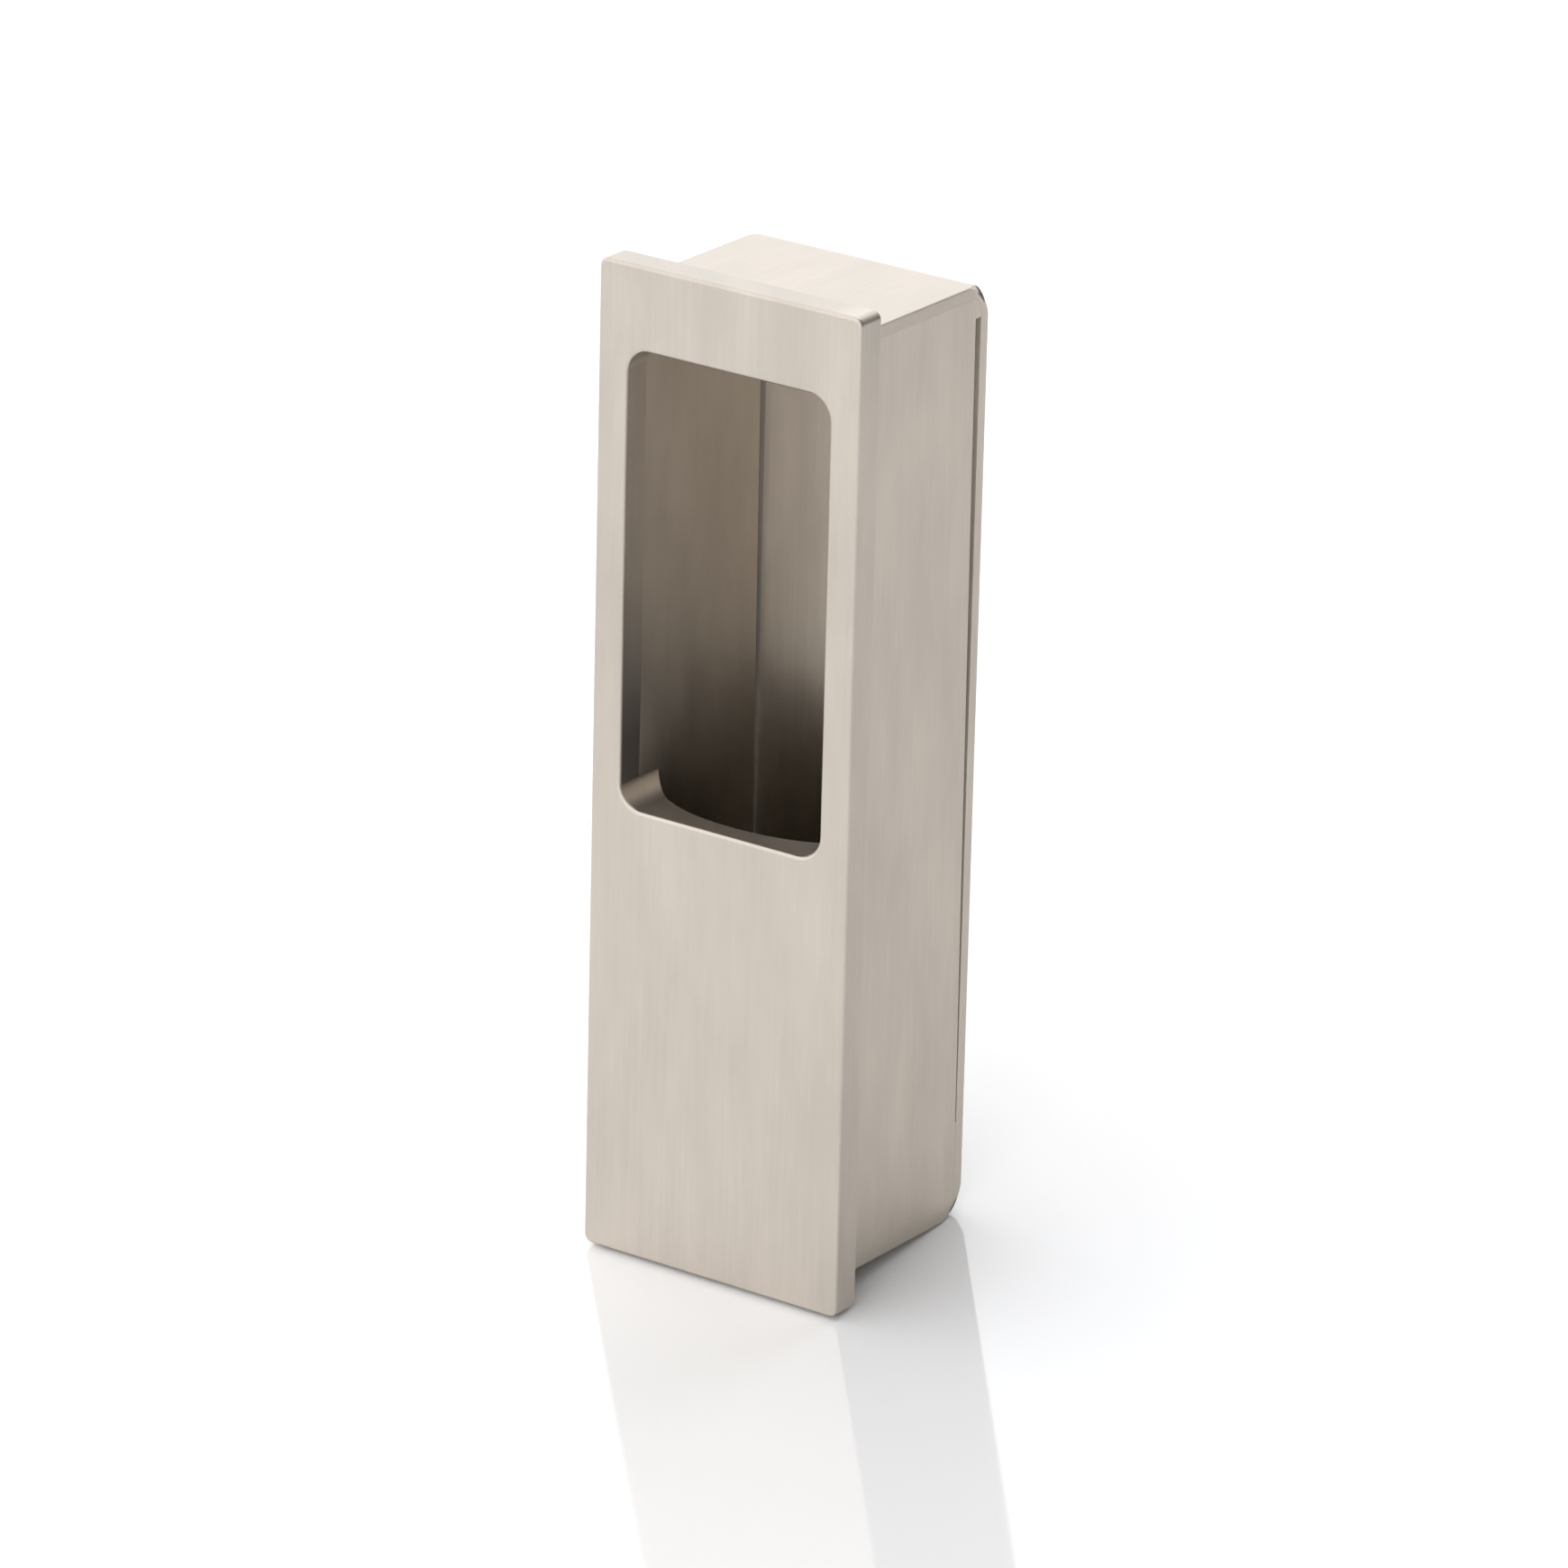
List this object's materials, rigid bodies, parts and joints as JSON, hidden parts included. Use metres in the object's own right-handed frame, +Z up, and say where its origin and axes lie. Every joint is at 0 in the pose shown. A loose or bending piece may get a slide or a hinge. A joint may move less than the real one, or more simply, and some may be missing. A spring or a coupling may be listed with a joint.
{
  "type": "pocket door pull",
  "caption": "Edge pull for a pocket door: a thick satin steel plate with a finger window in its upper half, over a deep welded sheet box.",
  "frame": {"origin": "centre of the seating plane, which is the back face of the front plate", "axes": "+Y from the plate into the door, +Z up along the plate's length, X across the plate"},
  "size_m": [0.036, 0.0285, 0.12],
  "materials": {
    "plate_steel": "satin, linished along the plate's length",
    "sheet_steel": "satin, linished along the box's length"
  },
  "bodies": {
    "root": {"front_plate": "plate_steel", "wrap_strip": "sheet_steel", "left_side_plate": "sheet_steel", "right_side_plate": "sheet_steel"}
  },
  "joints": []
}
